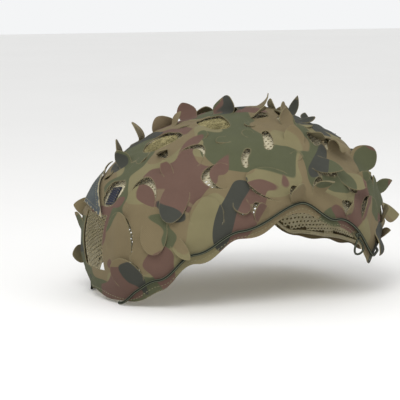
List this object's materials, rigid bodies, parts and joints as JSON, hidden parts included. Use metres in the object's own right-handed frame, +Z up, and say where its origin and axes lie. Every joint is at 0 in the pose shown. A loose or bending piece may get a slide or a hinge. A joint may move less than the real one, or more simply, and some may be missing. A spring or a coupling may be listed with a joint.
{
  "type": "helmet cover",
  "caption": "Fitted leaf-cut camouflage cloth over an open net cap that dresses and hides a high-cut helmet.",
  "frame": {"origin": "inner face of the crown, where the cover bears on the helmet's top", "axes": "+Z up, the wearer looks along -Y, the wearer's left is +X; the cover sits nose down as worn"},
  "size_m": [0.2496, 0.3, 0.1883],
  "materials": {
    "spacer_net": "matte openwork knit",
    "camouflage_cloth": "matte printed cloth",
    "slate_cloth": "matte cloth",
    "dark_webbing": "woven webbing",
    "loop_pile": "fuzzy loop pile",
    "elastic_cord": "braided elastic"
  },
  "bodies": {
    "root": {"net_cap": "spacer_net", "leaf_layer": "camouflage_cloth", "front_tab": "slate_cloth", "front_strap": "dark_webbing", "pile_patch_front": "loop_pile", "pile_patch_crown": "loop_pile", "draw_cord": "elastic_cord", "cord_knot": "elastic_cord", "cord_loop": "elastic_cord"}
  },
  "joints": []
}
